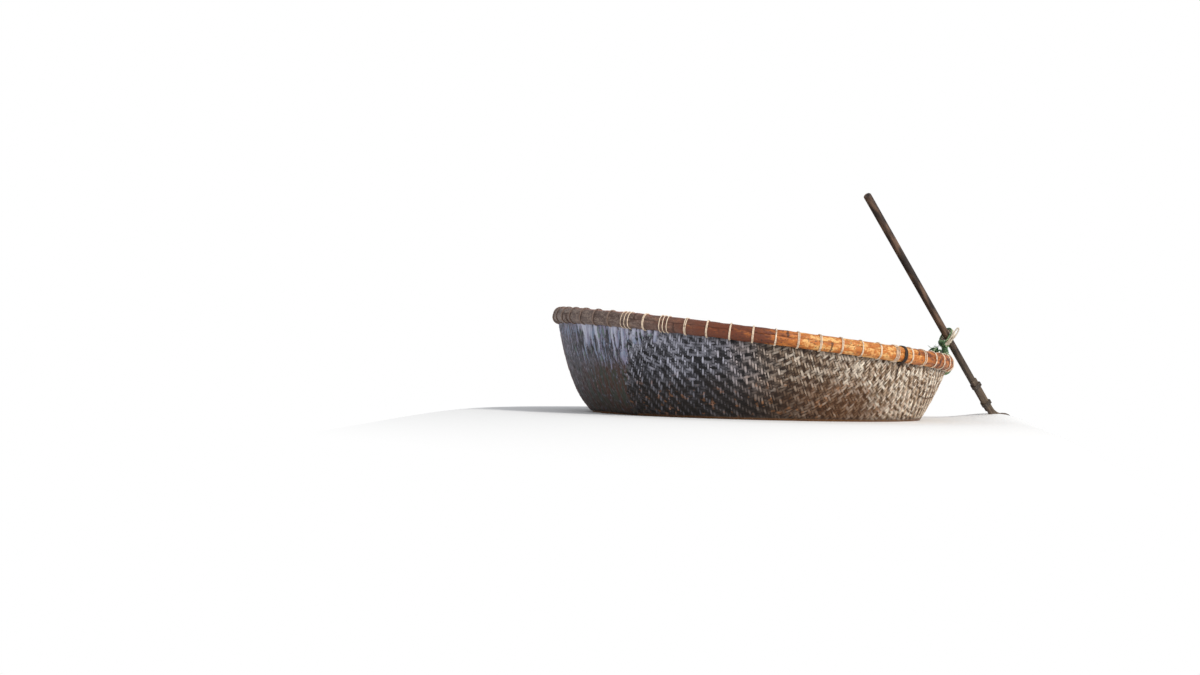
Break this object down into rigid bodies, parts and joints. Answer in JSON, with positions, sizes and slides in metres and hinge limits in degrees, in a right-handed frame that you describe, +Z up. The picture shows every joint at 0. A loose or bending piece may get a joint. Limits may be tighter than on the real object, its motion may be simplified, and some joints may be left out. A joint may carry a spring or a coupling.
{
  "type": "coracle",
  "caption": "Round woven basket boat with a lashed bamboo rim, bent laths, a seat plank and an oar in a rope loop at the rim.",
  "frame": {"origin": "on the bowl's upright axis, at the level where it floats", "axes": "+Z up, +X towards the side that the rower faces, where the oar is, +Y to the rower's left"},
  "size_m": [1.5788, 1.2106, 0.8864],
  "materials": {
    "coated_weave": "woven bamboo under a weathered resin coat",
    "bamboo_rim": "weathered half-round bamboo",
    "bamboo_cap": "weathered split cane",
    "bamboo_lath": "split bamboo, dull",
    "lashing_cord": "twisted cord, faded",
    "dark_cord": "tarred cord",
    "seat_wood": "worn plank",
    "tie_rope": "laid green rope",
    "loop_rope": "laid pale rope",
    "oar_wood": "dark weathered wood",
    "blade_wood": "dark wet wood"
  },
  "bodies": {
    "hull": {"hull_shell": "coated_weave", "rim_outer_hoop": "bamboo_rim", "rim_inner_hoop": "bamboo_rim", "rim_cap": "bamboo_cap", "rim_lashings": "lashing_cord", "rim_binding": "dark_cord", "rib_fore_aft_1": "bamboo_lath", "rib_fore_aft_2": "bamboo_lath", "rib_fore_aft_3": "bamboo_lath", "rib_fore_aft_4": "bamboo_lath", "rib_athwart_1": "bamboo_lath", "rib_athwart_2": "bamboo_lath", "rib_athwart_3": "bamboo_lath", "rib_athwart_4": "bamboo_lath", "seat_plank": "seat_wood", "oar_tie": "tie_rope"},
    "loop": {"oar_loop": "loop_rope"},
    "oar": {"oar_shaft": "oar_wood", "oar_blade": "blade_wood", "oar_blade_bands": "dark_cord"}
  },
  "joints": [
    {"name": "oar_sweep", "type": "hinge", "parent": "hull", "child": "loop", "pos_m": [0.57772, 0.09816, 0.3], "axis": [0, 0, 1], "range_deg": [-80, 14]},
    {"name": "oar_dip", "type": "hinge", "parent": "loop", "child": "oar", "pos_m": [0.57772, 0.09816, 0.3], "axis": [0.7071, -0.7071, 0], "range_deg": [-11, 36.5]}
  ]
}
